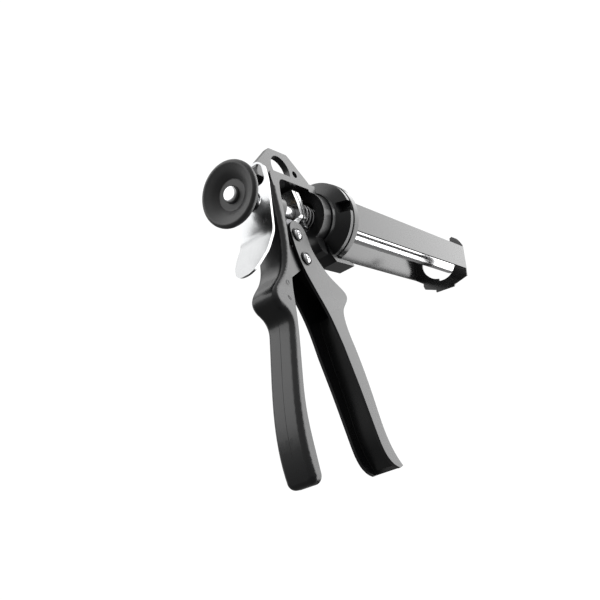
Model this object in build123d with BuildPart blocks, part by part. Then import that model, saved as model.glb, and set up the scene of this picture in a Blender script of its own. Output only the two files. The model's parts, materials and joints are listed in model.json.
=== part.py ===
"""Heavy-duty manual caulking gun for 310 ml cartridges.

Axes: +X runs along the push rod towards the nozzle, +Y is the gun's left, +Z is up.
Origin: on the push rod's axis, in the plane where the cartridge's base sits.
All sizes are millimetres.
"""
import os
from math import cos, radians, sin

from build123d import *

# ---- driving dimensions -------------------------------------------------------------

# push rod and its pull knob
rod_r = 6.0
rod_rear_x = -114.3
rod_tip_x = 244.7
knob_rim_r = 24.2
knob_rim_x = -116.3
knob_front_x = -98.0
knob_flat_x = -111.0
knob_pin_x = -103.0
knob_pin_r = 1.5

# cradle that holds a cartridge 50 mm across and 215 mm long
cradle_clear = 216.0
strip_t = 2.0
strip_out = 28.6
strip_half = 11.4
cradle_turn = 10.5
cup_r = 33.0
cup_back_x = -4.0
cup_floor_t = 2.0
cup_front_x = 3.0
cup_rim_t = 1.8
foot_in = 19.5
rivet_r = 2.0
rivet_across = 23.0
rivet_up = 6.0

# flared collar between the body and the cradle
bell_r = 32.5
bell_back_x = -17.5
bell_face_x = -4.5
spigot_r = 13.6
spigot_front_x = -0.3
bush_out_r = 7.6
collar_screw_circle = 17.0
collar_screw_r = 1.5

# body casting
body_half = 13.0
body_top_z = 24.0
bridge_under_z = 18.7
barrel_r = 21.0
barrel_back_x = -28.0
spring_bore_r = 12.6
fin_half = 2.6
hang_hole_x = -42.3
hang_hole_z = 38.7
hang_hole_r = 11.5
fin_bore_x = -23.8
fin_bore_r = 3.0
web_half = 7.8
handle_half = 11.2
handle_wall = 3.0
edge_r = 4.2
drum_r = 9.6
drum_front_x = -60.0
lever_seat_x = -75.0
lever_seat_r = 10.4

# trigger and its two pins
pivot_x = -56.3
pivot_z = -44.4
pusher_x = -59.2
pusher_z = -25.6
cheek_out = 10.4
cheek_in = 8.2
grip_half = 12.0
sleeve_r = 3.5
screw_head_r = 4.6
screw_head_t = 2.6
running = 0.05

# drive plates and the spring in front of them
plate_t = 3.6
plate_pitch = 4.8
plate_half = 9.6
plate_foot_half = 7.4
plate_hole_r = 6.25
spring_wire_r = 0.9

# release lever
lever_t = 2.0
lever_half = 15.0
lug_half = 9.6

os.makedirs("parts", exist_ok=True)

# Sketch plane of the turned cradle: local x points from the rod to the left strip.
turn = radians(cradle_turn)
cradle_plane = Plane(origin=(0, 0, 0), x_dir=(0, cos(turn), sin(turn)), z_dir=(1, 0, 0))


def across(x):
    """Plane square to the rod at x: local x is +Y, local y is +Z, normal +X."""
    return Plane(origin=(x, 0, 0), x_dir=(0, 1, 0), z_dir=(1, 0, 0))


def side(y=0.0):
    """Plane of the side view at y: local x is +X, local y is +Z, normal -Y."""
    return Plane.XZ.offset(-y)


def save(piece):
    """Write one finished piece as its own file."""
    export_step(piece, f"parts/{piece.label}.step")


def ahead(points, step):
    """The same side-view points, moved along X by step."""
    return [(x + step, z) for x, z in points]


# ---- body casting: spine, head, barrel, fin, web and handle in one piece ---------------

back_line = [(-76.4, 20.0), (-78.6, 0.0), (-80.6, -22.0), (-83.6, -38.0), (-88.2, -52.0),
             (-96.5, -63.5), (-105.0, -71.5), (-108.6, -78.5), (-106.4, -85.0), (-101.0, -89.5),
             (-98.2, -95.0), (-99.6, -103.0), (-106.8, -124.0), (-116.0, -153.0), (-121.0, -180.0),
             (-119.8, -203.5)]
front_line = [(-66.0, bridge_under_z), (-70.0, 3.6), (-73.5, -19.0), (-77.8, -38.5), (-81.5, -54.5),
              (-84.6, -67.0), (-89.8, -92.0), (-101.2, -130.0), (-109.4, -161.0), (-111.6, -190.0),
              (-112.4, -203.5)]

with BuildPart() as body_casting:
    # spine and handle as one side profile, cut to the rear-view outline
    with BuildSketch(side()):
        with BuildLine():
            Spline(*back_line)
            Line(back_line[-1], front_line[-1])
            Spline(*front_line)
            Line(front_line[0], back_line[0])
        make_face()
    extrude(amount=body_half, both=True)
    with BuildSketch(across(-130.0)):
        with BuildLine():
            grip = FilletPolyline((-body_half, 30.0), (-body_half, -36.0), (-handle_half, -72.0),
                                  (-handle_half, -203.5), (handle_half, -203.5), (handle_half, -72.0),
                                  (body_half, -36.0), (body_half, 30.0), radius=5.5)
            Line(grip @ 1, grip @ 0)
        make_face()
    extrude(amount=80.0, mode=Mode.INTERSECT)
    rear_face = max(faces(), key=lambda f: f.area if f.normal_at().X < -0.5 else 0.0)
    rear_edges = rear_face.edges().filter_by(lambda e: abs(e.center().Y) > 8.0 and e.length > 2.0)
    fillet(rear_edges, radius=edge_r)
    # top bridge from the spine to the barrel
    with BuildSketch(side()):
        with BuildLine():
            Polyline((-61.5, bridge_under_z), (-20.0, bridge_under_z), (-20.0, body_top_z),
                     (-71.6, body_top_z), (-74.6, 22.8), (-76.0, 20.4), (-76.4, 16.0), (-75.6, 10.0),
                     (-70.0, 10.0), (-67.9, 12.0))
            ThreePointArc((-67.9, 12.0), (-65.6, 16.8), (-61.5, bridge_under_z))
        make_face()
    extrude(amount=body_half, both=True)
    # round barrel in front, squared off under the bridge
    with BuildSketch(across(barrel_back_x)):
        Circle(barrel_r)
        with Locations((0, body_top_z / 2)):
            Rectangle(2 * body_half, body_top_z)
    extrude(amount=bell_back_x - barrel_back_x)
    # rib under the barrel, down to the collar's foot
    with BuildSketch(side()):
        with BuildLine():
            Polyline((barrel_back_x, -14.0), (barrel_back_x, -24.0), (-24.0, -31.0),
                     (bell_back_x, -33.0), (bell_back_x, -14.0), close=True)
        make_face()
    extrude(amount=7.3, both=True)
    # fin, whose front end reaches into the collar's top notch
    with BuildSketch(side()):
        with BuildLine():
            Polyline((-81.4, 29.0), (-51.5, 55.0), (-28.0, 55.4), (-6.5, 35.6), (-6.5, 27.4),
                     (bell_back_x, 24.4), (-20.0, 20.0), (-74.0, 20.0), (-75.5, body_top_z), close=True)
        make_face()
        fillet(vertices().group_by(Axis.Y)[-1], radius=3.0)
    extrude(amount=fin_half, both=True)
    # web between the trigger's cheeks, round the pivot
    with BuildSketch(side()):
        with BuildLine():
            Polyline((-79.0, -31.0), (pivot_x - 3.0, pivot_z + 7.0), (pivot_x, pivot_z),
                     (pivot_x - 3.0, pivot_z - 7.0), (-86.4, -66.0), close=True)
        make_face()
        with Locations((pivot_x, pivot_z)):
            Circle(7.6)
    extrude(amount=web_half, both=True)
    # drum round the rear rod bush
    with BuildSketch(across(lever_seat_x)):
        Circle(drum_r)
    extrude(amount=drum_front_x - lever_seat_x)
    # lug that the release lever hooks over
    with BuildSketch(side()):
        with BuildLine():
            Polyline((-74.0, 17.2), (-87.2, 17.8), (-87.2, 24.2), (-85.2, 26.8), (-80.0, 26.2),
                     (-74.0, 23.8), close=True)
        make_face()
    extrude(amount=lug_half, both=True)
    # rod bore, lever spring's seat and drive spring's bore
    with BuildSketch(across(-90.0)):
        Circle(bush_out_r)
    extrude(amount=90.0 + drum_front_x + 1.0, mode=Mode.SUBTRACT)
    with BuildSketch(across(lever_seat_x)):
        Circle(lever_seat_r)
    extrude(amount=-12.0, mode=Mode.SUBTRACT)
    with BuildSketch(across(barrel_back_x - 1.0)):
        Circle(spring_bore_r)
    extrude(amount=bell_back_x - barrel_back_x + 2.0, mode=Mode.SUBTRACT)
    # hanging hole and small bore in the fin
    with BuildSketch(side()):
        with Locations((hang_hole_x, hang_hole_z)):
            Circle(hang_hole_r)
        with Locations((fin_bore_x, hang_hole_z)):
            Circle(fin_bore_r)
    extrude(amount=fin_half + 1.0, both=True, mode=Mode.SUBTRACT)
    # pivot bore in the web
    with BuildSketch(side()):
        with Locations((pivot_x, pivot_z)):
            Circle(sleeve_r + running)
    extrude(amount=web_half + 1.0, both=True, mode=Mode.SUBTRACT)
    # tapped holes for the collar's screws
    with BuildSketch(across(bell_back_x)):
        with PolarLocations(collar_screw_circle, 3, start_angle=30):
            Circle(collar_screw_r)
    extrude(amount=-8.0, mode=Mode.SUBTRACT)
    # shallow channel down the front of the handle
    with BuildSketch(side()):
        with BuildLine():
            floor = ahead(back_line[12:15], 4.4)
            clear = front_line[8][0] + 12.0
            Spline(*floor)
            Polyline(floor[-1], (clear, floor[-1][1]), (clear, floor[0][1]), floor[0])
        make_face()
    extrude(amount=handle_half - handle_wall, both=True, mode=Mode.SUBTRACT)
body_casting.part.label = "body_casting"
save(body_casting.part)

# ---- flared collar: cone, notches, spigot for the cradle and foot ------------------------

with BuildPart() as flared_collar:
    with BuildSketch(Plane.XZ):
        with BuildLine():
            Line((bell_back_x, bush_out_r), (bell_back_x, 22.2))
            Line((bell_back_x, 22.2), (-14.6, 22.6))
            ThreePointArc((-14.6, 22.6), (-11.9, 26.6), (-8.8, 31.4))
            Polyline((-8.8, 31.4), (-8.0, bell_r), (bell_face_x, bell_r), (bell_face_x, spigot_r),
                     (spigot_front_x, spigot_r), (spigot_front_x, bush_out_r), (bell_back_x, bush_out_r))
        make_face()
    revolve(axis=Axis.X)
    # notches at the top and at both sides
    with BuildSketch(across(bell_back_x - 1.0)):
        with Locations((31.0, 0), (-31.0, 0)):
            Rectangle(14.0, 9.2)
        with Locations((0, 31.0)):
            Rectangle(9.2, 14.0)
    extrude(amount=bell_face_x - bell_back_x + 2.0, mode=Mode.SUBTRACT)
    # foot under the cradle's rear ring
    with BuildSketch(side()):
        with BuildLine():
            Polyline((-14.0, -22.0), (-14.0, -30.5), (-7.0, -37.2), (19.0, -37.2), (19.0, -35.6),
                     (12.0, -33.9), (bell_face_x, -33.9), (bell_face_x, -22.0), close=True)
        make_face()
    extrude(amount=7.3, both=True)
    # seat for the drive spring
    with BuildSketch(across(bell_back_x)):
        Circle(11.6)
    extrude(amount=3.5, mode=Mode.SUBTRACT)
    # groove for the retaining ring
    with BuildSketch(across(-1.95)):
        Circle(spigot_r + 1.0)
        Circle(spigot_r - 0.95, mode=Mode.SUBTRACT)
    extrude(amount=1.2, mode=Mode.SUBTRACT)
    # countersunk holes for the screws into the barrel
    with Locations(across(bell_face_x)):
        with PolarLocations(collar_screw_circle, 3, start_angle=30):
            CounterSinkHole(radius=collar_screw_r, counter_sink_radius=2.9)
flared_collar.part.label = "flared_collar"
save(flared_collar.part)

with BuildPart() as collar_screws:
    with BuildSketch(across(-25.0)):
        with PolarLocations(collar_screw_circle, 3, start_angle=30):
            Circle(collar_screw_r - 0.03)
    extrude(amount=25.0 + bell_face_x)
    with BuildSketch(across(bell_face_x)):
        with PolarLocations(collar_screw_circle, 3, start_angle=30):
            Circle(2.8)
    extrude(amount=-1.3, taper=45)
collar_screws.part.label = "collar_screws"
save(collar_screws.part)

with BuildPart() as front_bush:
    with BuildSketch(across(bell_back_x + 3.5)):
        Circle(bush_out_r)
        Circle(rod_r + running, mode=Mode.SUBTRACT)
    extrude(amount=spigot_front_x - bell_back_x - 3.5)
front_bush.part.label = "front_bush"
save(front_bush.part)

with BuildPart() as rear_bush:
    with BuildSketch(across(lever_seat_x)):
        Circle(bush_out_r)
        Circle(rod_r + running, mode=Mode.SUBTRACT)
    extrude(amount=drum_front_x - lever_seat_x + 0.8)
rear_bush.part.label = "rear_bush"
save(rear_bush.part)

# ---- turning cradle -------------------------------------------------------------------

with BuildPart() as swivel_washer:
    with BuildSketch(across(bell_face_x + 0.02)):
        Circle(23.5)
        Circle(spigot_r + 0.1, mode=Mode.SUBTRACT)
    extrude(amount=0.42)
swivel_washer.part.label = "swivel_washer"
save(swivel_washer.part)

with BuildPart() as cradle_back_plate:
    with BuildSketch(cradle_plane.offset(cup_back_x)):
        Circle(cup_r)
    extrude(amount=cup_front_x - cup_back_x)
    with BuildSketch(cradle_plane.offset(cup_back_x + cup_floor_t)):
        Circle(cup_r - cup_rim_t)
    extrude(amount=cup_front_x - cup_back_x, mode=Mode.SUBTRACT)
    with BuildSketch(cradle_plane.offset(cup_back_x - 1.0)):
        Circle(spigot_r + running)
        with Locations(*[(sx * rivet_across, sy * rivet_up) for sx in (-1, 1) for sy in (-1, 1)]):
            Circle(rivet_r)
    extrude(amount=cup_floor_t + 2.0, mode=Mode.SUBTRACT)
    fillet(edges().group_by(Axis.X)[0].filter_by(GeomType.CIRCLE).sort_by(SortBy.RADIUS)[-1], radius=1.2)
cradle_back_plate.part.label = "cradle_back_plate"
save(cradle_back_plate.part)


def cradle_side(hand, hole, drop, chin, nose_x):
    """One side of the cradle: rear foot, long strip and half of the nose plate.

    hand is +1 on the left and -1 on the right. hole gives the opening's edge by three points,
    from the side to the lap; drop is the lap's lower end and chin the outline from there on.
    """
    horn = [(strip_out, 13.0), (26.8, 16.6), (23.4, 20.9), (18.6, 24.2), (16.2, 23.2), (15.8, 19.0)]
    with BuildPart() as piece:
        with BuildSketch(cradle_plane.offset(-cup_floor_t)):
            with Locations((hand * (strip_out - strip_t / 2), 0)):
                Rectangle(strip_t, 2 * strip_half)
        extrude(amount=nose_x + strip_t + cup_floor_t)
        with BuildSketch(cradle_plane.offset(-cup_floor_t)):
            with Locations((hand * (strip_out + foot_in) / 2, 0)):
                Rectangle(strip_out - foot_in, 2 * strip_half)
        extrude(amount=cup_floor_t)
        with BuildSketch(cradle_plane.offset(nose_x)):
            with BuildLine():
                Polyline(*[(hand * px, py) for px, py in horn], hole[0])
                ThreePointArc(*hole)
                Polyline(hole[2], drop, *[(hand * px, py) for px, py in chin], (hand * strip_out, 13.0))
            make_face()
        extrude(amount=strip_t)
        with BuildSketch(cradle_plane.offset(-cup_floor_t - 1.0)):
            with Locations((hand * rivet_across, rivet_up), (hand * rivet_across, -rivet_up)):
                Circle(rivet_r)
        extrude(amount=cup_floor_t + 2.0, mode=Mode.SUBTRACT)
        rear_bend = edges().filter_by(GeomType.LINE).group_by(Axis.X)[0]
        rear_bend = rear_bend.sort_by(lambda e: cradle_plane.to_local_coords(e.center()).X * hand)[-1]
        fillet(rear_bend, radius=1.8)
    return piece.part


right_chin = [(13.1, -26.7), (14.0, -24.4), (17.1, -23.3), (28.2, -18.9), (strip_out, -12.0)]
right_side = cradle_side(-1, [(-17.6, 0.0), (-12.4, -12.5), (7.0, -16.1)], (7.2, -28.5), right_chin,
                         cradle_clear)
right_side.label = "cradle_side_right"
save(right_side)

left_chin = [(9.8, -25.2), (20.2, -22.4), (21.4, -19.0), (21.0, -16.3), (strip_out, -strip_half)]
left_side = cradle_side(1, [(19.4, 2.0), (14.2, -9.8), (3.0, -14.6)], (3.0, -25.6), left_chin,
                        cradle_clear + strip_t)
left_side.label = "cradle_side_left"
save(left_side)

with BuildPart() as cradle_rivets:
    with BuildSketch(cradle_plane.offset(cup_back_x)):
        with Locations(*[(sx * rivet_across, sy * rivet_up) for sx in (-1, 1) for sy in (-1, 1)]):
            Circle(rivet_r)
    extrude(amount=-cup_back_x)
    chamfer(faces().group_by(Axis.X)[-1].edges(), length=0.4)
cradle_rivets.part.label = "cradle_rivets"
save(cradle_rivets.part)

with BuildPart() as retaining_ring:
    with BuildSketch(across(-1.9)):
        Circle(17.6)
        Circle(spigot_r - 0.9, mode=Mode.SUBTRACT)
        with Locations((0, 16.0)):
            Rectangle(9.0, 12.0, mode=Mode.SUBTRACT)
    extrude(amount=1.1)
retaining_ring.part.label = "retaining_ring"
save(retaining_ring.part)

# ---- push rod with its knob --------------------------------------------------------------

with BuildPart() as push_rod:
    with BuildSketch(across(rod_rear_x)):
        Circle(rod_r)
    extrude(amount=rod_tip_x - rod_rear_x)
    chamfer(edges().group_by(Axis.X)[0], length=0.8)
    chamfer(edges().group_by(Axis.X)[-1], length=1.0)
    with BuildSketch(side()):
        with Locations((knob_pin_x, 0)):
            Circle(knob_pin_r)
    extrude(amount=rod_r + 1.0, both=True, mode=Mode.SUBTRACT)
push_rod.part.label = "push_rod"
save(push_rod.part)

with BuildPart() as pull_knob:
    with BuildSketch(Plane.XZ):
        with BuildLine():
            Line((knob_front_x, rod_r + 0.02), (knob_front_x, 9.6))
            Line((knob_front_x, 9.6), (knob_front_x - 3.4, 10.4))
            Spline((knob_front_x - 3.4, 10.4), (-106.0, 13.4), (-111.2, knob_rim_r - 1.4),
                   tangents=((-1, 0.15), (-0.3, 1)))
            Spline((-111.2, knob_rim_r - 1.4), (-112.6, knob_rim_r), (-115.0, knob_rim_r),
                   (knob_rim_x, knob_rim_r - 1.6), tangents=((-0.3, 1), (0.12, -1)))
            Spline((knob_rim_x, knob_rim_r - 1.6), (-115.2, 18.6), (-113.2, 14.4), (knob_flat_x, 11.5),
                   tangents=((0.12, -1), (1, -0.75)))
            Line((knob_flat_x, 11.5), (knob_flat_x, rod_r + 0.02))
            Line((knob_flat_x, rod_r + 0.02), (knob_front_x, rod_r + 0.02))
        make_face()
    revolve(axis=Axis.X)
    with BuildSketch(side()):
        with Locations((knob_pin_x, 0)):
            Circle(knob_pin_r)
    extrude(amount=9.0, both=True, mode=Mode.SUBTRACT)
pull_knob.part.label = "pull_knob"
save(pull_knob.part)

with BuildPart() as knob_pin:
    with BuildSketch(side()):
        with Locations((knob_pin_x, 0)):
            Circle(knob_pin_r - 0.01)
    extrude(amount=8.8, both=True)
knob_pin.part.label = "knob_pin"
save(knob_pin.part)

# ---- drive plates ----------------------------------------------------------------------


def drive_plate(line):
    """A zinc plate whose side view follows line, with a hole for the rod."""
    with BuildPart() as plate:
        with BuildSketch(side()):
            with BuildLine():
                FilletPolyline(*line, radius=2.5)
            trace(line_width=plate_t)
        extrude(amount=plate_half, both=True)
        # rear-view outline: round shoulders at the top, a narrower foot below
        with BuildSketch(across(-70.0)):
            with Locations((0, 4.8)):
                RectangleRounded(2 * plate_half, 25.6, 3.0)
            with Locations((0, -8.0)):
                Rectangle(2 * plate_foot_half, 18.0)
            Circle(plate_hole_r, mode=Mode.SUBTRACT)
        extrude(amount=50.0, mode=Mode.INTERSECT)
    return plate.part


plate_line = [(-45.6, 16.2), (-43.0, 5.0), (-43.0, -6.8)]

# the rear plate's foot is bent back towards the push dog
drive_plate_rear = drive_plate([*plate_line, (-52.5, -13.2)])
drive_plate_rear.label = "drive_plate_rear"
save(drive_plate_rear)

drive_plate_front = drive_plate(ahead([*plate_line[:2], (-43.0, -13.5)], plate_pitch))
drive_plate_front.label = "drive_plate_front"
save(drive_plate_front)


def coil(x_start, x_end, coil_r, wire_r, turns):
    """Coil spring round the rod, its wire's centre line from x_start to x_end."""
    with BuildPart() as spring:
        with BuildLine():
            path = Helix((x_end - x_start) / turns, x_end - x_start, coil_r, center=(x_start, 0, 0),
                         direction=(1, 0, 0))
        with BuildSketch(Plane(origin=path @ 0, z_dir=path % 0)):
            Circle(wire_r)
        sweep(path=path)
    return spring.part


drive_spring = coil(-35.2, -15.1, 9.6, spring_wire_r, 5.0)
drive_spring.label = "drive_spring"
save(drive_spring)

# ---- release lever ---------------------------------------------------------------------

lever_line = [(-83.2, 29.6), (-83.8, 12.0), (-94.6, -31.0), (-119.4, -63.6)]

with BuildPart() as release_lever:
    with BuildSketch(side()):
        with BuildLine():
            FilletPolyline(*lever_line, radius=26.0)
        trace(line_width=lever_t)
    extrude(amount=lever_half, both=True)
    # rear-view outline with an arched top and a round tail, the hook window and the rod slot
    with BuildSketch(across(-130.0)):
        with BuildLine():
            Line((-lever_half, -38.0), (-lever_half, 20.0))
            Spline((-lever_half, 20.0), (-12.4, 26.6), (-7.0, 29.4), tangents=((0, 1), (1, 0.05)))
            Line((-7.0, 29.4), (7.0, 29.4))
            Spline((7.0, 29.4), (12.4, 26.6), (lever_half, 20.0), tangents=((1, -0.05), (0, -1)))
            Line((lever_half, 20.0), (lever_half, -38.0))
            Spline((lever_half, -38.0), (13.0, -52.0), (6.4, -61.6), (0.0, -63.4), (-6.4, -61.6),
                   (-13.0, -52.0), (-lever_half, -38.0), tangents=((0, -1), (0, 1)))
        make_face()
        with Locations((0, 19.0)):
            RectangleRounded(2 * lever_half - 5.0, 17.2, 5.0, mode=Mode.SUBTRACT)
        with Locations((0, -0.2)):
            Ellipse(6.9, 8.0, mode=Mode.SUBTRACT)
    extrude(amount=60.0, mode=Mode.INTERSECT)
release_lever.part.label = "release_lever"
save(release_lever.part)

lever_spring = coil(-75.8, -82.6, 8.6, 0.6, 3.5)
lever_spring.label = "lever_spring"
save(lever_spring)

# ---- trigger ---------------------------------------------------------------------------

trigger_top = [(-66.2, -25.8), (-58.4, -14.0), (-50.0, -16.0)]
trigger_front = [(-50.0, -16.0), (-46.0, -25.0), (-44.8, -33.9), (-39.4, -44.6), (-30.6, -55.0),
                 (-18.4, -63.6), (-14.0, -69.0), (-17.6, -74.6), (-25.6, -82.0), (-28.7, -93.0),
                 (-26.4, -117.0), (-22.8, -150.8), (-20.2, -179.6), (-10.0, -200.1)]
trigger_back = [(-15.2, -201.4), (-29.6, -190.0), (-33.0, -176.0), (-37.4, -143.0), (-42.6, -112.0),
                (-47.6, -88.0), (-56.0, -68.0), (-63.0, -52.0), (-66.0, -37.0), (-66.2, -25.8)]



def trigger_outline(top_half, grip_half):
    """Rear-view outline of the trigger, which widens from the cheeks down to the grip."""
    return [(-top_half, 0.0), (-top_half, -72.0), (-grip_half, -112.0), (-grip_half, -210.0),
            (grip_half, -210.0), (grip_half, -112.0), (top_half, -72.0), (top_half, 0.0)]


# channel between the cheeks, open at the back, at the top and at the bottom
with BuildPart() as channel:
    with BuildSketch(side()):
        with BuildLine():
            Polyline((-60.0, -10.0), (-42.0, -10.0), (-47.6, -34.0))
            Spline((-47.6, -34.0), (-42.4, -45.8), (-33.8, -58.0), (-23.0, -67.2))
            Polyline((-23.0, -67.2), (-23.6, -73.6), (-31.0, -84.0), (-31.8, -93.0))
            Spline((-31.8, -93.0), (-28.8, -117.0), (-25.6, -150.8), (-23.2, -179.0), (-14.0, -198.0))
            Polyline((-14.0, -198.0), (-15.0, -206.0), (-40.0, -206.0), (-80.0, -60.0), (-80.0, -10.0),
                     (-60.0, -10.0))
        make_face()
    extrude(amount=grip_half, both=True)
    with BuildSketch(across(-90.0)):
        with BuildLine():
            Polyline(*trigger_outline(cheek_in, grip_half - 2.4), close=True)
        make_face()
    extrude(amount=100.0, mode=Mode.INTERSECT)

with BuildPart() as trigger:
    with BuildSketch(side()):
        with BuildLine():
            ThreePointArc(*trigger_top)
            Spline(*trigger_front)
            Line(trigger_front[-1], trigger_back[0])
            Spline(*trigger_back)
        make_face()
    extrude(amount=grip_half, both=True)
    with BuildSketch(across(-90.0)):
        with BuildLine():
            Polyline(*trigger_outline(cheek_out, grip_half), close=True)
        make_face()
    extrude(amount=100.0, mode=Mode.INTERSECT)
    add(channel.part, mode=Mode.SUBTRACT)
    with BuildSketch(side()):
        with Locations((pivot_x, pivot_z), (pusher_x, pusher_z)):
            Circle(sleeve_r)
    extrude(amount=cheek_out + 1.0, both=True, mode=Mode.SUBTRACT)
trigger.part.label = "trigger"
save(trigger.part)


def sleeve(x, z):
    """Sleeve between the cheeks, tapped at both ends for the pan-head screws."""
    with BuildPart() as tube:
        with BuildSketch(side()):
            with Locations((x, z)):
                Circle(sleeve_r)
                Circle(2.0, mode=Mode.SUBTRACT)
        extrude(amount=cheek_out, both=True)
    return tube.part


pivot_sleeve = sleeve(pivot_x, pivot_z)
pivot_sleeve.label = "pivot_sleeve"
save(pivot_sleeve)

pusher_sleeve = sleeve(pusher_x, pusher_z)
pusher_sleeve.label = "pusher_sleeve"
save(pusher_sleeve)


def pan_screws(hand):
    """The two cross-recess pan-head screws of one side; hand is +1 on the left."""
    with BuildPart() as screws:
        with BuildSketch(side(hand * cheek_out)):
            with Locations((pivot_x, pivot_z), (pusher_x, pusher_z)):
                Circle(screw_head_r)
        extrude(amount=-hand * screw_head_t)
        fillet(edges().group_by(Axis.Y)[-1 if hand > 0 else 0], radius=1.7)
        with BuildSketch(side(hand * cheek_out)):
            with Locations((pivot_x, pivot_z), (pusher_x, pusher_z)):
                Circle(2.0)
        extrude(amount=hand * 7.0)
        with BuildSketch(side(hand * (cheek_out + screw_head_t))):
            with Locations((pivot_x, pivot_z), (pusher_x, pusher_z)):
                Rectangle(4.8, 1.1, rotation=35)
                Rectangle(4.8, 1.1, rotation=125)
        extrude(amount=hand * 1.5, mode=Mode.SUBTRACT)
    return screws.part


screws_right = pan_screws(-1)
screws_right.label = "trigger_screws_right"
save(screws_right)

screws_left = pan_screws(1)
screws_left.label = "trigger_screws_left"
save(screws_left)

# dog that stands on the pusher sleeve and drives the plates' lower ends
with BuildPart() as push_dog:
    with BuildSketch(side()):
        with BuildLine():
            Polyline((pusher_x - 5.0, pusher_z), (-63.2, -13.5), (-61.4, -11.2), (-54.0, -10.6),
                     (-54.0, pusher_z), close=True)
        make_face()
        with Locations((pusher_x, pusher_z)):
            Circle(5.2)
            Circle(sleeve_r + running, mode=Mode.SUBTRACT)
    extrude(amount=7.0, both=True)
push_dog.part.label = "push_dog"
save(push_dog.part)
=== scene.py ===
# %% [markdown]
# # Caulking gun
#
# A heavy manual gun for sealant cartridges. Cast and painted parts carry the load, an open sheet-steel
# cradle holds the cartridge, and a bare steel rod is pushed through by two zinc-plated drive plates.
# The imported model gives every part's shape and place. This lesson gives the parts their finish, eases the
# sharp edges that no casting has, and makes the turned and coiled parts again at a finer grain.

# %% Load the frame
import json

import bmesh
import bpy
import numpy as np
from mathutils import Matrix, Vector
from mathutils.bvhtree import BVHTree


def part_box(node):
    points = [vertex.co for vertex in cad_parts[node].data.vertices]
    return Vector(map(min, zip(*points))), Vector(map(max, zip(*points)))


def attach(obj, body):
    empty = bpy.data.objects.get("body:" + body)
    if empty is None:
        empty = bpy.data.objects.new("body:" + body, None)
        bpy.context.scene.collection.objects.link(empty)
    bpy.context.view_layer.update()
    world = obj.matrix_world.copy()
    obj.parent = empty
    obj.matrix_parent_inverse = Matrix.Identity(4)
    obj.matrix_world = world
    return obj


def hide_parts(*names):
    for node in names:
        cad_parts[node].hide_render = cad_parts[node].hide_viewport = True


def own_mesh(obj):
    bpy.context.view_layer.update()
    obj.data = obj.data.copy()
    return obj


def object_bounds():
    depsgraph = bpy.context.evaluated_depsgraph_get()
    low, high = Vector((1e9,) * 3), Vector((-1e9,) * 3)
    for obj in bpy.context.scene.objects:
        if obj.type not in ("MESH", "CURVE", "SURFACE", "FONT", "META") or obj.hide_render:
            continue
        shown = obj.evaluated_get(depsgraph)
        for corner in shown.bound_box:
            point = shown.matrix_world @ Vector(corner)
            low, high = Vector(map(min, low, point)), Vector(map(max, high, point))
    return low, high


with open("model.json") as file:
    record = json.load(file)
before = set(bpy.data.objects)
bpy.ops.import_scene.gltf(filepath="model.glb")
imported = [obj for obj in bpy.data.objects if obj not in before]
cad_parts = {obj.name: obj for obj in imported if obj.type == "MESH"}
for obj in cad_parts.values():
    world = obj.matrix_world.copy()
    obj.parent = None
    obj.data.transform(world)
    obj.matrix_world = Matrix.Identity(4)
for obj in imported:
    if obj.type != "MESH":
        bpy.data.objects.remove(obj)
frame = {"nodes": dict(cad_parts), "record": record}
cad_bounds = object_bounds()
nodes = frame["nodes"]
body_of = {node: body for body, names in frame["record"]["behaviour"]["bodies"].items() for node in names}
slot_of = {part["node"]: part["material_slot"] for part in frame["record"]["subparts"]}
print("nodes", len(nodes), "box", [[round(c, 4) for c in corner] for corner in cad_bounds])

# %% [markdown]
# ## Shader sums as Python
#
# A finish is a sum of small effects: a base value, plus a little noise, minus a mask. Written node by node
# that is hard to read, so one small class wraps a socket and turns +, -, * and / into Math nodes.

# %% A socket that can be added up


class Sock:
    """A shader output that Python's operators can be used on. Each operator adds one Math node."""

    def __init__(self, tree, socket):
        self.tree = tree
        self.socket = socket

    def math(self, operation, *values):
        """One Math node with this socket first and the other values after it."""
        node = self.tree.nodes.new("ShaderNodeMath")
        node.operation = operation
        for index, value in enumerate((self, *values)):
            plug(self.tree, node.inputs[index], value)
        return Sock(self.tree, node.outputs[0])

    def __add__(self, other):
        return self.math("ADD", other)

    def __sub__(self, other):
        return self.math("SUBTRACT", other)

    def __mul__(self, other):
        return self.math("MULTIPLY", other)

    def __truediv__(self, other):
        return self.math("DIVIDE", other)

    def __rsub__(self, other):
        return self.math("MULTIPLY", -1.0).math("ADD", other)

    __radd__ = __add__
    __rmul__ = __mul__

    def clamp(self, low=0.0, high=1.0):
        """The value held between low and high."""
        return self.math("MAXIMUM", low).math("MINIMUM", high)


def plug(tree, socket, value):
    """Link a wrapped socket, or set a plain value."""
    if isinstance(value, Sock):
        tree.links.new(value.socket, socket)
    else:
        socket.default_value = value


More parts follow.
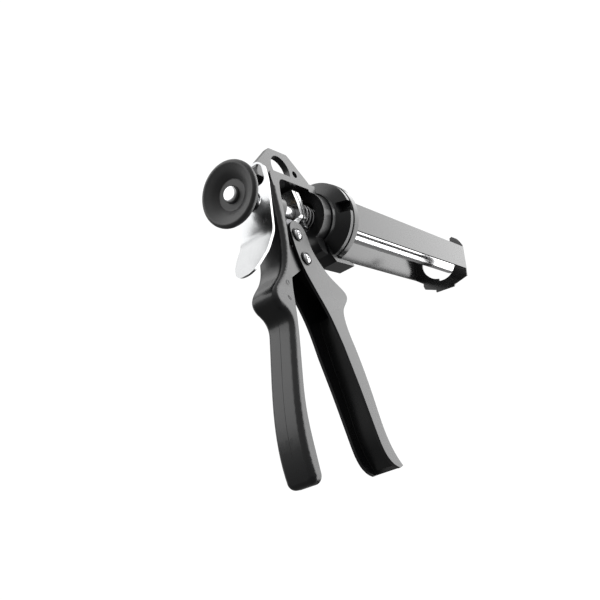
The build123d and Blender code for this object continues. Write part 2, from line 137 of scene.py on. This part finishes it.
class Finish:
    """A material being written: its tree, its shader and a method for every other node."""

    def __init__(self, name):
        self.material = bpy.data.materials.new(name)
        self.material.use_nodes = True
        self.tree = self.material.node_tree
        self.shader = self.tree.nodes["Principled BSDF"]

    def node(self, kind, settings=None, out=0, **inputs):
        """A node of the given type: settings first, then its sockets' values or links."""
        node = self.tree.nodes.new(kind)
        for key, value in (settings or {}).items():
            setattr(node, key, value)
        for key, value in inputs.items():
            plug(self.tree, node.inputs[key.replace("_", " ")], value)
        return Sock(self.tree, node.outputs[out])

    def place(self, stretch=(1.0, 1.0, 1.0)):
        """Object coordinates in metres, stretched along the three axes."""
        coords = self.node("ShaderNodeTexCoord", out=3)
        return self.node("ShaderNodeMapping", Vector=coords, Scale=stretch)

    def noise(self, scale, detail=2.0, stretch=(1.0, 1.0, 1.0), roughness=0.5):
        """Noise from 0 to 1 whose grains are about 1/scale metres across."""
        return self.node("ShaderNodeTexNoise", Vector=self.place(stretch), Scale=scale, Detail=detail,
                         Roughness=roughness)

    def mix(self, factor, first, second):
        """Colour mix from first to second."""
        node = self.tree.nodes.new("ShaderNodeMix")
        node.data_type = "RGBA"
        plug(self.tree, node.inputs[0], factor)
        plug(self.tree, node.inputs[6], first)
        plug(self.tree, node.inputs[7], second)
        return Sock(self.tree, node.outputs[2])

    def bump(self, height, strength, distance):
        """A normal from a height; distance is the height's size in metres."""
        return self.node("ShaderNodeBump", Height=height, Strength=strength, Distance=distance)

    def wear(self, **sockets):
        """Set or link the shader's own sockets, and give back the material."""
        for key, value in sockets.items():
            plug(self.tree, self.shader.inputs[key.replace("_", " ")], value)
        return self.material


print("socket maths ready")

# %% [markdown]
# ## Finishes
#
# The castings are dipped in black enamel: nearly black, glossy enough to mirror a lamp as a soft grey
# sheet, with the faint orange peel of sprayed paint. The cradle's sheet steel takes the same paint more
# thinly, so it is flatter and shinier. Zinc plate is bright and slightly cloudy.

# %% Black paints and plastic


def painted_casting():
    """Enamel over a casting: orange peel from fine noise, slow cloudiness in the gloss."""
    f = Finish("black_enamel")
    peel = f.noise(900.0, detail=1.0)
    sand = f.noise(260.0, detail=3.0)
    cloud = f.noise(30.0, detail=2.0)
    colour = f.mix(cloud, (0.0085, 0.0088, 0.0095, 1), (0.0125, 0.0128, 0.0135, 1))
    normal = f.bump(peel * 0.6 + sand * 0.4, 0.10, 0.00012)
    return f.wear(Base_Color=colour, Roughness=cloud * 0.08 + 0.24, Normal=normal, IOR=1.5)


def painted_sheet():
    """The same paint on flat sheet: smoother, with long slow waves from the rolling."""
    f = Finish("black_sheet_paint")
    waves = f.noise(14.0, detail=1.0, stretch=(0.4, 1.0, 1.0))
    peel = f.noise(800.0, detail=1.0)
    colour = f.mix(waves, (0.009, 0.009, 0.0095, 1), (0.012, 0.012, 0.0125, 1))
    normal = f.bump(peel, 0.05, 0.00008)
    return f.wear(Base_Color=colour, Roughness=waves * 0.05 + 0.17, Normal=normal, IOR=1.5)


def moulded_plastic():
    """Satin black plastic with a fine spark-eroded grain."""
    f = Finish("black_plastic")
    grain = f.noise(1500.0, detail=2.0)
    slow = f.noise(45.0, detail=2.0)
    colour = f.mix(slow, (0.022, 0.022, 0.0225, 1), (0.03, 0.03, 0.0305, 1))
    return f.wear(Base_Color=colour, Roughness=slow * 0.08 + 0.38, Normal=f.bump(grain, 0.12, 0.00005))


# %% Bright metals


def zinc_plate():
    """Bright zinc: cloudy reflections and faint rolling lines."""
    f = Finish("zinc_plate")
    cloud = f.noise(120.0, detail=4.0)
    lines = f.noise(60.0, detail=3.0, stretch=(1.0, 30.0, 1.0))
    colour = f.mix(cloud, (0.40, 0.405, 0.41, 1), (0.49, 0.495, 0.50, 1))
    rough = cloud * 0.10 + lines * 0.08 + 0.16
    return f.wear(Base_Color=colour, Metallic=1.0, Roughness=rough, Normal=f.bump(lines, 0.06, 0.0001))


def drawn_steel():
    """Ground rod: fine rings round the rod and slow tarnish along it."""
    f = Finish("bright_steel")
    rings = f.noise(3.0, detail=4.0, stretch=(400.0, 6.0, 6.0))
    tarnish = f.noise(25.0, detail=3.0)
    colour = f.mix(tarnish, (0.60, 0.60, 0.61, 1), (0.74, 0.74, 0.745, 1))
    return f.wear(Base_Color=colour, Metallic=1.0, Roughness=rings * 0.08 + tarnish * 0.06 + 0.14,
                  Normal=f.bump(rings, 0.08, 0.00006))


def plated_screw():
    """Screw heads: chrome-like zinc, a little rougher in the recess."""
    f = Finish("screw_zinc")
    cloud = f.noise(400.0, detail=3.0)
    return f.wear(Base_Color=(0.78, 0.78, 0.79, 1), Metallic=1.0, Roughness=cloud * 0.14 + 0.14)


def oiled_wire():
    """Spring wire: dark, oiled, with drawing lines along the wire."""
    f = Finish("spring_steel")
    oil = f.noise(180.0, detail=3.0)
    colour = f.mix(oil, (0.34, 0.34, 0.345, 1), (0.56, 0.56, 0.57, 1))
    return f.wear(Base_Color=colour, Metallic=1.0, Roughness=oil * 0.12 + 0.18)


def hardened_steel():
    """Case-hardened dog: dark, blotchy, matt."""
    f = Finish("hard_steel")
    blot = f.noise(150.0, detail=4.0)
    colour = f.mix(blot, (0.10, 0.10, 0.105, 1), (0.22, 0.22, 0.23, 1))
    return f.wear(Base_Color=colour, Metallic=1.0, Roughness=blot * 0.2 + 0.34)


def sintered_bronze():
    """Porous bush: warm metal with tiny pits."""
    f = Finish("bush_bronze")
    pits = f.noise(1800.0, detail=1.0)
    colour = f.mix(pits, (0.30, 0.20, 0.10, 1), (0.52, 0.38, 0.20, 1))
    return f.wear(Base_Color=colour, Metallic=1.0, Roughness=pits * 0.2 + 0.34,
                  Normal=f.bump(pits, 0.2, 0.00005))


def natural_nylon():
    """Washer: milky white, waxy."""
    f = Finish("white_nylon")
    haze = f.noise(200.0, detail=2.0)
    colour = f.mix(haze, (0.72, 0.72, 0.68, 1), (0.80, 0.80, 0.77, 1))
    return f.wear(Base_Color=colour, Roughness=haze * 0.1 + 0.4)


finishes = {
    "black_enamel": painted_casting(),
    "black_sheet_paint": painted_sheet(),
    "black_plastic": moulded_plastic(),
    "bright_steel": drawn_steel(),
    "zinc_plate": zinc_plate(),
    "screw_zinc": plated_screw(),
    "spring_steel": oiled_wire(),
    "hard_steel": hardened_steel(),
    "bush_bronze": sintered_bronze(),
    "white_nylon": natural_nylon(),
}
print("finishes", sorted(finishes))

# %% [markdown]
# ## Carried-over nodes
#
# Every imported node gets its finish. Hidden ones keep their own mesh.

# %% Give each node its finish
for name, node in nodes.items():
    for material_slot in node.material_slots:
        material_slot.material = finishes[slot_of[name]]
print("dressed", len(nodes))

# %% [markdown]
# ## Eased edges
#
# A casting or a pressed sheet has no knife edges: its corners catch a thin line of light. A copy of the
# node's mesh is merged, its flat faces are joined, and a Bevel modifier rounds what is left sharp. Two
# wide flats that meet at a slight angle keep their crease, and Weighted Normal lets the flats decide the
# shading, so that no triangle shows on them.

# %% Copy a node with its edges eased
wide_face = 0.0003  # square metres: two flats this wide keep the crease where they meet
flat_angle = np.radians(0.6)
sharp_angle = np.radians(30.0)


def eased(name, width):
    """A copy of a node with its sharp edges rounded to the given width in metres."""
    mesh = nodes[name].data.copy()
    grid = bmesh.new()
    grid.from_mesh(mesh)
    bmesh.ops.remove_doubles(grid, verts=grid.verts, dist=2e-6)
    bmesh.ops.dissolve_limit(grid, angle_limit=flat_angle, verts=grid.verts, edges=grid.edges)
    for face in grid.faces:
        face.smooth = True
    for edge in grid.edges:
        wide = [face.calc_area() > wide_face for face in edge.link_faces]
        edge.smooth = not (len(wide) == 2 and all(wide) and edge.calc_face_angle(0.0) > flat_angle)
    grid.to_mesh(mesh)
    grid.free()
    piece = bpy.data.objects.new(f"{name}_eased", mesh)
    bpy.context.scene.collection.objects.link(piece)
    mesh.materials.clear()
    mesh.materials.append(finishes[slot_of[name]])
    bevel = piece.modifiers.new("ease", "BEVEL")
    bevel.width = width
    bevel.segments = 2
    bevel.limit_method = "ANGLE"
    bevel.angle_limit = sharp_angle
    bevel.harden_normals = True
    bevel.use_clamp_overlap = True
    bevel.miter_outer = "MITER_ARC"
    even = piece.modifiers.new("even", "WEIGHTED_NORMAL")
    even.keep_sharp = True
    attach(piece, body_of[name])
    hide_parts(name)
    return piece


# how wide each node's rounded edges are, in metres
eased_widths = {
    "body_casting": 0.0008, "flared_collar": 0.0005, "trigger": 0.0007, "cradle_back_plate": 0.0004,
    "cradle_side_right": 0.0004, "cradle_side_left": 0.0004, "release_lever": 0.0004,
    "drive_plate_rear": 0.0005, "drive_plate_front": 0.0005, "push_dog": 0.0004,
}
for name, width in eased_widths.items():
    piece = eased(name, width)
    print(piece.name, len(piece.data.polygons))

# %% [markdown]
# ## Turned and coiled parts
#
# The knob, the springs and the screws are surfaces of two parameters. A turned part sweeps its profile
# (x, r) round the rod: the point is (x, r sin a, r cos a). A coil sweeps a small circle along a helix. A
# screw head is a low dome whose height drops inside a cross.

# %% Surface helpers


def surface(name, grid, body, node, finish, closed_u=False, capped=False):
    """A mesh from a grid of points (u, v, 3) whose v direction closes on itself.

    closed_u joins the last ring to the first. capped closes the two end rings with one point each.
    """
    rows, cols = grid.shape[:2]
    index = np.arange(rows * cols).reshape(rows, cols)
    a, b = index, np.roll(index, -1, axis=1)
    if closed_u:
        c, d = np.roll(b, -1, axis=0), np.roll(a, -1, axis=0)
    else:
        a, b, c, d = a[:-1], b[:-1], b[1:], index[1:]
    quads = np.stack([a, b, c, d], axis=-1).reshape(-1, 4).tolist()
    points = grid.reshape(-1, 3)
    if capped:
        ends = np.stack([grid[0].mean(axis=0), grid[-1].mean(axis=0)])
        first, last = len(points), len(points) + 1
        points = np.concatenate([points, ends])
        quads += [[first, int(q), int(p)] for p, q in zip(index[0], np.roll(index[0], -1))]
        quads += [[last, int(p), int(q)] for p, q in zip(index[-1], np.roll(index[-1], -1))]
    mesh = bpy.data.meshes.new(name)
    mesh.from_pydata(points.tolist(), [], quads)
    grid_mesh = bmesh.new()
    grid_mesh.from_mesh(mesh)
    bmesh.ops.recalc_face_normals(grid_mesh, faces=grid_mesh.faces)
    grid_mesh.to_mesh(mesh)
    grid_mesh.free()
    mesh.shade_smooth()
    mesh.materials.append(finishes[finish])
    piece = bpy.data.objects.new(name, mesh)
    bpy.context.scene.collection.objects.link(piece)
    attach(piece, body)
    if node:
        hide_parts(node)
    return piece


def smooth_profile(points, steps):
    """A Catmull-Rom curve through the profile points (x, r), steps samples to each span."""
    p = np.array(points, dtype=float)
    p = np.concatenate([[2 * p[0] - p[1]], p, [2 * p[-1] - p[-2]]])
    t = np.linspace(0.0, 1.0, steps, endpoint=False)[:, None]
    spans = []
    for i in range(1, len(p) - 2):
        p0, p1, p2, p3 = p[i - 1:i + 3]
        spans.append(0.5 * (2 * p1 + (p2 - p0) * t + (2 * p0 - 5 * p1 + 4 * p2 - p3) * t ** 2
                            + (3 * p1 - p0 - 3 * p2 + p3) * t ** 3))
    return np.concatenate([*spans, p[-2:-1]])


def turned(profile, around):
    """Points of a profile (x, r) swept round the rod: (x, r sin a, r cos a)."""
    angle = np.linspace(0.0, 2 * np.pi, around, endpoint=False)
    x = np.repeat(profile[:, :1], around, axis=1)
    y = profile[:, 1:2] * np.sin(angle)
    z = profile[:, 1:2] * np.cos(angle)
    return np.stack([x, y, z], axis=-1)


# %% [markdown]
# ### The pull knob
#
# The knob is a moulded dish: a rounded rim, a hollow that falls to a flat ring, and the rod's end in the
# middle. A lathe shape could be drawn by hand and spun. Here a smooth curve goes through a few profile
# points, measured from the knob's own box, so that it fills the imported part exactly.

# %% Pull knob
low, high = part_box("pull_knob")
rear, front, rim = low[0], high[0], high[2]
bore = 0.00602
flat = rear + 0.0053
knob_profile = np.concatenate([
    smooth_profile([(front, bore), (front, 0.0078), (front - 0.0002, 0.0093), (front - 0.0008, 0.0098),
                    (front - 0.0034, 0.0104), (front - 0.0072, 0.0124), (front - 0.0105, 0.0166),
                    (front - 0.0128, rim - 0.0018), (front - 0.0142, rim - 0.0003), (front - 0.0160, rim),
                    (rear + 0.0009, rim - 0.0006), (rear, rim - 0.0023), (rear + 0.0006, rim - 0.0045),
                    (rear + 0.0022, 0.0158), (rear + 0.0043, 0.0126), (flat - 0.0002, 0.0117)], 8),
    smooth_profile([(flat, 0.0113), (flat, 0.0085), (flat, 0.0067), (flat + 0.0003, bore)], 4),
])
surface("pull_knob_turned", turned(knob_profile, 160), "rod", "pull_knob", "black_plastic", closed_u=True)
print("knob rings", len(knob_profile))

# %% [markdown]
# ### The push rod
#
# Ground bar with a small chamfer at both ends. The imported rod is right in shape, but its finish needs
# many rings along its length, so the bar is turned again with 200 of them.

# %% Push rod with chamfered ends
low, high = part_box("push_rod")
rod_r = high[2]
rod_profile = np.concatenate([
    [(low[0] + 0.00006, 0.0002), (low[0] + 0.00004, 0.0006), (low[0] + 0.00001, 0.0012)],
    [(low[0], 0.0020), (low[0], 0.0046), (low[0] + 0.0002, 0.0053), (low[0] + 0.0009, rod_r - 0.0001)],
    np.stack([np.linspace(low[0] + 0.0012, high[0] - 0.0012, 200), np.full(200, rod_r)], axis=-1),
    [(high[0] - 0.0009, rod_r - 0.0001), (high[0] - 0.0002, rod_r - 0.0008), (high[0], rod_r - 0.0013)],
    [(high[0], 0.0004)],
])
surface("push_rod_turned", turned(rod_profile, 72), "rod", "push_rod", "bright_steel", capped=True)
print("rod rings", len(rod_profile))

# %% [markdown]
# ### The springs
#
# A real spring shortens between the part that pushes it and the part that holds it.

# %% Springs


def coil(node, coil_r, wire_r, turns, body):
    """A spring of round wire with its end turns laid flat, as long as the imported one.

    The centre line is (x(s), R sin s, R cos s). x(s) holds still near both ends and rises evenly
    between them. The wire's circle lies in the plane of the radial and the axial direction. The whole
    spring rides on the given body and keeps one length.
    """
    low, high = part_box(node)
    first, last = low[0] + wire_r, high[0] - wire_r
    s = np.linspace(0.0, 2 * np.pi * turns, int(turns * 64))
    ease = np.clip((s / s[-1] - 0.08) / 0.84, 0.0, 1.0)
    x = first + (last - first) * ease
    around = np.linspace(0.0, 2 * np.pi, 14, endpoint=False)[None, :]
    radius = coil_r + wire_r * np.cos(around)
    points = np.stack([x[:, None] + wire_r * np.sin(around), radius * np.sin(s)[:, None],
                       radius * np.cos(s)[:, None]], axis=-1)
    piece = surface(f"{node}_coil", points, body, node, "spring_steel", capped=True)
    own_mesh(piece)


coil("drive_spring", 0.0096, 0.0009, 5.5, "plates")
coil("lever_spring", 0.0086, 0.0006, 3.75, "lever")

# %% [markdown]
# ### The trigger's screws
#
# Four pan heads with a cross recess hold the trigger's pins. Each sits in a dished seat whose sloping
# wall turns away from the lamp, which gives the dark ring round the bright head. The head is a height
# over a disc, the seat a small closed profile turned about the screw.

# %% Pan-head screws


def screw_head(name, centre, outward, twist):
    """A domed head with a cross recess and its short shank.

    Over the disc the height is h(r) = top sqrt(1 - (r / 1.06 R)^2), less the recess depth
    d(r) where the point lies inside either arm of the cross.
    """
    head_r, head_h, shank_r, shank_l = 0.0037, 0.0026, 0.0019, 0.0068
    radii = np.concatenate([np.linspace(0.00005, 0.0024, 26), np.linspace(0.0025, head_r, 14)])
    angle = np.linspace(0.0, 2 * np.pi, 120, endpoint=False)
    r, a = np.meshgrid(radii, angle, indexing="ij")
    dome = head_h * np.sqrt(1.0 - (r / (1.06 * head_r)) ** 2)
    u, v = np.abs(r * np.cos(a)), np.abs(r * np.sin(a))
    half_w, arm = 0.00052, 0.0023
    inside = np.maximum(np.clip((half_w - v) / 0.00022, 0, 1) * np.clip((arm - u) / 0.0003, 0, 1),
                        np.clip((half_w - u) / 0.00022, 0, 1) * np.clip((arm - v) / 0.0003, 0, 1))
    height = dome - inside * (0.0017 - 0.00045 * r / arm)
    top = np.stack([r * np.cos(a + twist), r * np.sin(a + twist), height], axis=-1)
    lower = [(head_r + 0.00002, 0.0004), (head_r - 0.00005, 0.0), (shank_r, 0.0), (shank_r, -shank_l)]
    skirt = np.stack([np.stack([q * np.cos(angle + twist), q * np.sin(angle + twist),
                                np.full_like(angle, h)], axis=-1) for q, h in lower])
    shape = np.concatenate([top, skirt])
    x = centre[0] + shape[..., 0]
    z = centre[2] + shape[..., 1]
    y = centre[1] + outward * shape[..., 2]
    points = np.stack([x, y, z], axis=-1)
    return surface(name, points, "trigger", None, "screw_zinc", capped=True)


# %% Dished seats, and all four screws in place


def cup_ring(name, centre, outward):
    """The dished seat pressed round a screw: its closed profile (r, h) is turned about the screw."""
    profile = [(0.0053, -0.0002), (0.0053, 0.0008), (0.0051, 0.0010), (0.0049, 0.0009), (0.0038, -0.0001),
               (0.0038, -0.0002)]
    angle = np.linspace(0.0, 2 * np.pi, 96, endpoint=False)
    rings = [[centre[0] + r * np.cos(angle), np.full_like(angle, centre[1] + outward * h),
              centre[2] + r * np.sin(angle)] for r, h in profile]
    points = np.stack(rings).transpose(0, 2, 1)
    return surface(name, points, "trigger", None, "black_enamel", closed_u=True)


low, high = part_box("trigger_screws_right")
half_head = 0.0046
lower_x, upper_x = high[0] - half_head, low[0] + half_head
lower_z, upper_z = low[2] + half_head, high[2] - half_head
cheek = -low[1] - 0.0026
for hand, label in ((-1, "right"), (1, "left")):
    pivot = screw_head(f"pivot_screw_{label}", (lower_x, hand * cheek, lower_z), hand, 0.6)
    screw_head(f"pusher_screw_{label}", (upper_x, hand * cheek, upper_z), hand, 1.1)
    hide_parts(f"trigger_screws_{label}")
    cup_ring(f"pivot_cup_{label}", (lower_x, hand * cheek, lower_z), hand)
    cup_ring(f"pusher_cup_{label}", (upper_x, hand * cheek, upper_z), hand)
print("screws at", [round(float(c), 4) for c in (lower_x, lower_z, upper_x, upper_z)])

# %% [markdown]
# ## Marks left by the mould
#
# A die casting keeps the rings of its ejector pins and a fine flash line where the two halves of the
# mould met. Both are thin rounded ridges, half sunk in the paint, which is laid over them.

# %% A thin ridge along a line


def ridge(name, line, wire, body, closed):
    """A round ridge of the given radius along a line of points, by sweeping a circle.

    At each point the circle lies in the plane of two directions square to the line's tangent.
    """
    line = np.array(line, dtype=float)
    if closed:
        tangent = np.roll(line, -1, axis=0) - np.roll(line, 1, axis=0)
    else:
        tangent = np.gradient(line, axis=0)
    tangent /= np.linalg.norm(tangent, axis=1)[:, None]
    first = np.cross(tangent, (0.03, 1.0, 0.02))
    first /= np.linalg.norm(first, axis=1)[:, None]
    second = np.cross(tangent, first)
    around = np.linspace(0.0, 2 * np.pi, 10, endpoint=False)[None, :, None]
    taper = np.ones((len(line), 1, 1))
    if not closed:
        taper = np.clip(np.minimum(np.arange(len(line)), np.arange(len(line))[::-1]) / 4.0, 0.05, 1.0)
        taper = taper[:, None, None]
    circle = first[:, None] * np.cos(around) + second[:, None] * np.sin(around)
    points = line[:, None] + wire * taper * circle
    return surface(name, points, body, None, "black_enamel", closed_u=closed, capped=not closed)


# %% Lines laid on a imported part


def on_surface(node, starts, direction):
    """Where rays from the start points meet a node's mesh."""
    mesh = nodes[node].data
    count = len(mesh.vertices)
    points = np.empty(count * 3)
    mesh.vertices.foreach_get("co", points)
    tree = BVHTree.FromPolygons(points.reshape(-1, 3).tolist(), [p.vertices[:] for p in mesh.polygons])
    hits = [tree.ray_cast(Vector(p), Vector(direction))[0] for p in starts]
    return np.array([hit for hit in hits if hit is not None])


def ring_on(node, centre, ring_r, hand, stretch=1.0, turn=0.0):
    """A ring of points on a node's side face, round or stretched along its turned x direction."""
    angle = np.linspace(0.0, 2 * np.pi, 40, endpoint=False)
    u, v = ring_r * stretch * np.cos(angle), ring_r * np.sin(angle)
    x = centre[0] + u * np.cos(turn) - v * np.sin(turn)
    z = centre[1] + u * np.sin(turn) + v * np.cos(turn)
    starts = np.stack([x, np.full_like(x, hand * 0.05), z], axis=-1)
    return on_surface(node, starts, (0, -hand, 0))


# %% Ejector rings, vent marks and the parting line
casting_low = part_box("body_casting")[0]
for hand, label in ((-1, "right"), (1, "left")):
    ring = ring_on("body_casting", (-0.0905, -0.0685), 0.0016, hand)
    ridge(f"ejector_ring_{label}", ring, 0.00022, "body", True)
    ridge(f"vent_mark_{label}", ring_on("body_casting", (-0.0930, -0.0800), 0.0007, hand, 2.6, -0.9), 0.0002,
          "body", True)
heights = np.linspace(-0.086, casting_low[2] + 0.006, 90)
starts = np.stack([np.full_like(heights, -0.2), np.zeros_like(heights), heights], axis=-1)
seam = on_surface("body_casting", starts, (1, 0, 0))
seam[:, 0] = np.maximum(seam[:, 0], casting_low[0] + 0.00013)  # no further back than the casting
ridge("parting_line", seam + (0.00010, 0.0, 0.0), 0.00022, "body", False)
print("seam points", len(seam))

# %% [markdown]
# ## Camera, lamps and floor
#
# The gun floats above a pale floor and is seen from behind and a little below, as a catalogue shows it.
# The black paint shows only what it mirrors, so the lamps are placed by reflection: one large soft box
# stands where the right-hand faces mirror it towards the eye, and a weaker one lights the rear faces.

# %% Camera
eye = Vector((-0.506, -0.2751, -0.2429))
heading = np.radians(31.86)
climb = np.radians(18.0)
roll = np.radians(15.9)
ahead = Vector((np.cos(heading) * np.cos(climb), np.sin(heading) * np.cos(climb), np.sin(climb)))
level = ahead.cross(Vector((0, 0, 1))).normalized()
upright = level.cross(ahead)
right = level * np.cos(roll) - upright * np.sin(roll)
above = upright * np.cos(roll) + level * np.sin(roll)
camera_data = bpy.data.cameras.new("camera")
camera_data.lens = 46.38
camera_data.sensor_width = 36.0
camera_data.clip_start = 0.01
camera = bpy.data.objects.new("camera", camera_data)
bpy.context.scene.collection.objects.link(camera)
facing = Matrix((right, above, -ahead)).transposed().to_4x4()
camera.matrix_world = Matrix.Translation(eye) @ facing
bpy.context.scene.camera = camera
print("camera", [round(c, 3) for c in camera.location])

# %% [markdown]
# ### Lamps
#
# The key lamp is the picture that the right-hand faces mirror. The rear lamp does the same for the grips'
# backs, the left one keeps the far side from going black, and the top one lights the upper edges. They
# are hidden from the camera, and their power follows from the brightness that each should show.

# %% Lamps
aim = Vector((0.02, 0.0, -0.03))


def soft_box(name, toward, distance, width, height, radiance):
    """A square lamp; its power in watts is radiance times pi times its area."""
    data = bpy.data.lights.new(name, "AREA")
    data.shape = "RECTANGLE"
    data.size = width
    data.size_y = height
    data.energy = radiance * np.pi * width * height
    lamp = bpy.data.objects.new(name, data)
    bpy.context.scene.collection.objects.link(lamp)
    toward = Vector(toward).normalized()
    lamp.location = aim + toward * distance
    lamp.rotation_euler = toward.to_track_quat("Z", "Y").to_euler()
    lamp.visible_camera = False
    return lamp


soft_box("key_right", (0.80, -0.50, 0.08), 1.4, 1.9, 2.6, 3.3)
soft_box("fill_rear", (-0.62, 0.52, 0.56), 1.6, 1.5, 1.1, 1.8)
soft_box("fill_left", (0.30, 0.95, 0.25), 1.6, 0.9, 1.2, 0.5)
soft_box("top", (-0.05, 0.15, 1.0), 1.3, 1.3, 1.3, 1.2)

# %% [markdown]
# ### World and floor
#
# The camera sees plain white. Everything else sees a soft glow that is brighter above than below, so bare
# steel has something to mirror. The pale floor lies well below the gun, so that no horizon crosses it.

# %% World
world = bpy.data.worlds.new("studio")
bpy.context.scene.world = world
world.use_nodes = True
tree = world.node_tree
tree.nodes.clear()


def world_node(kind, out=0, **inputs):
    """A node of the world's tree, made like a material's."""
    node = tree.nodes.new(kind)
    for key, value in inputs.items():
        plug(tree, node.inputs[key.replace("_", " ")], value)
    return Sock(tree, node.outputs[out])


direction = world_node("ShaderNodeTexCoord", out=0)
height = world_node("ShaderNodeSeparateXYZ", out=2, Vector=direction)
glow = (height * 0.4 + 0.32).clamp(0.18, 0.6)
seen = world_node("ShaderNodeLightPath", out=0)
strength = seen * 1.05 + (1.0 - seen) * glow
shade = world_node("ShaderNodeBackground", Color=(1, 1, 1, 1), Strength=strength)
output = tree.nodes.new("ShaderNodeOutputWorld")
plug(tree, output.inputs["Surface"], shade)

print("world", world.name, len(tree.nodes), "nodes")

# %% Floor
floor_mesh = bpy.data.meshes.new("floor")
reach = 6.0
floor_z = cad_bounds[0][2] - 0.9
floor_mesh.from_pydata([(-reach, -reach, floor_z), (reach, -reach, floor_z), (reach, reach, floor_z),
                        (-reach, reach, floor_z)], [], [(0, 1, 2, 3)])
floor = bpy.data.objects.new("floor", floor_mesh)
bpy.context.scene.collection.objects.link(floor)
paper = Finish("pale_floor")
grain = paper.noise(40.0, detail=2.0)
white = paper.mix(grain, (0.90, 0.90, 0.90, 1), (0.94, 0.94, 0.94, 1))
floor_mesh.materials.append(paper.wear(Base_Color=white, Roughness=0.8, Emission_Color=(1, 1, 1, 1),
                                       Emission_Strength=1.0))
floor.visible_glossy = False
floor.visible_diffuse = False
floor.visible_shadow = False
bpy.context.scene.view_settings.view_transform = "Standard"
print("floor at", round(float(floor_z), 3))
